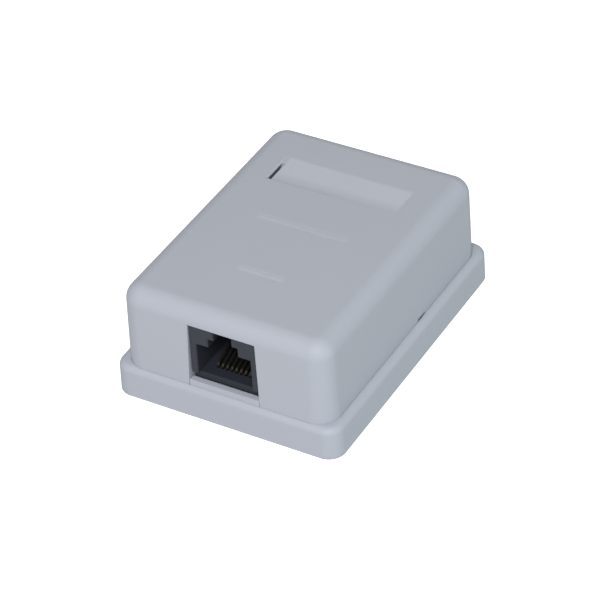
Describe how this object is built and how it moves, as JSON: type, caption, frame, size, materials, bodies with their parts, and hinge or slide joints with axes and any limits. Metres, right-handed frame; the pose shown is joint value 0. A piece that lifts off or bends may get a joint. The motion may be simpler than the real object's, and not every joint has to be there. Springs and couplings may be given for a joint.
{
  "type": "surface mount jack box",
  "caption": "Surface mount jack box: drafted cover over a skirted base, with a black modular socket at the front, board and punch-down blocks inside.",
  "frame": {"origin": "middle of the base's underside, on the wall or table that the box is fixed to", "axes": "+Z out of the wall through the roof, -Y out of the socket, +Y towards the cable entry, +X to the right when looking at the socket with the roof up"},
  "size_m": [0.05, 0.0664, 0.0256],
  "materials": {
    "cover_plastic": "fine satin moulded ABS, off-white",
    "base_plastic": "fine satin moulded ABS, off-white",
    "jack_plastic": "black glass-filled thermoplastic",
    "carrier_plastic": "black thermoplastic",
    "gold_contact": "gold plated phosphor bronze",
    "board": "green solder mask over glass-epoxy laminate",
    "block_plastic": "grey-white polycarbonate",
    "tin_blade": "tin plated phosphor bronze",
    "cap_plastic": "natural polypropylene",
    "screw_steel": "zinc plated steel"
  },
  "bodies": {
    "root": {"base": "base_plastic", "cover": "cover_plastic", "circuit_board": "board", "jack_housing": "jack_plastic", "contact_carrier": "carrier_plastic", "jack_contact_1": "gold_contact", "jack_contact_2": "gold_contact", "jack_contact_3": "gold_contact", "jack_contact_4": "gold_contact", "jack_contact_5": "gold_contact", "jack_contact_6": "gold_contact", "jack_contact_7": "gold_contact", "jack_contact_8": "gold_contact", "idc_block_left": "block_plastic", "idc_block_right": "block_plastic", "idc_blade_1": "tin_blade", "idc_blade_2": "tin_blade", "idc_blade_3": "tin_blade", "idc_blade_4": "tin_blade", "idc_blade_5": "tin_blade", "idc_blade_6": "tin_blade", "idc_blade_7": "tin_blade", "idc_blade_8": "tin_blade", "idc_cap_left": "cap_plastic", "idc_cap_right": "cap_plastic", "board_screws": "screw_steel"}
  },
  "joints": []
}
